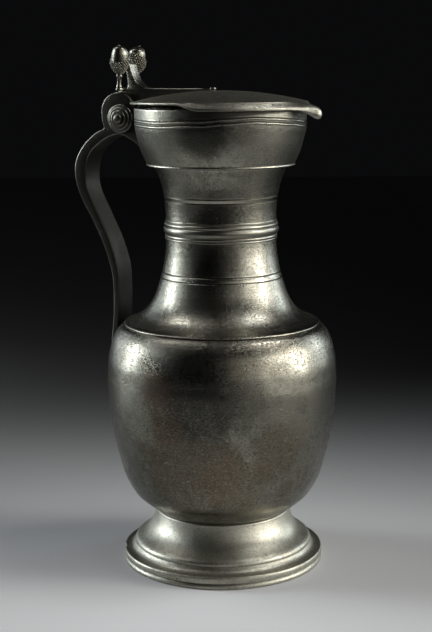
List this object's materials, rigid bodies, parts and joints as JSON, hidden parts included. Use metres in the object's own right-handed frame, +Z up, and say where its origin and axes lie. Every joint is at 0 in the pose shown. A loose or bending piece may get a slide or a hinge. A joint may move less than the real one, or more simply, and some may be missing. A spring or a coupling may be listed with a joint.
{
  "type": "lidded jug",
  "caption": "Tall baluster-shaped pewter jug on a stepped foot, with a curved strap handle and a hinged heart-shaped lid lifted by a pair of acorns.",
  "frame": {"origin": "centre of the foot's flat underside, on the axis the jug was turned about", "axes": "+Z up along the jug's axis, +X towards the pouring lip, so the handle is on the -X side, and the lid's hinge turns about a line along Y"},
  "size_m": [0.1571, 0.1308, 0.2934],
  "materials": {
    "pewter": "satin",
    "hinge_pewter": "satin",
    "acorn_pewter": "satin"
  },
  "bodies": {
    "jug": {"foot": "pewter", "belly_lower": "pewter", "belly_upper": "pewter", "shoulder": "pewter", "neck": "pewter", "neck_band": "pewter", "collar": "pewter", "handle": "pewter", "hinge_pin": "hinge_pewter", "pin_boss_near": "hinge_pewter", "pin_boss_far": "hinge_pewter"},
    "lid": {"lid": "pewter", "lid_bar": "pewter", "lid_stud": "hinge_pewter", "thumb_saddle": "hinge_pewter", "stem_near": "hinge_pewter", "stem_far": "hinge_pewter", "acorn_cup_near": "acorn_pewter", "acorn_cup_far": "acorn_pewter", "acorn_nut_near": "acorn_pewter", "acorn_nut_far": "acorn_pewter"}
  },
  "joints": [
    {"name": "lid_hinge", "type": "hinge", "parent": "jug", "child": "lid", "pos_m": [-0.0596, 0, 0.2523], "axis": [0, -1, 0], "range_deg": [0, 100]}
  ]
}
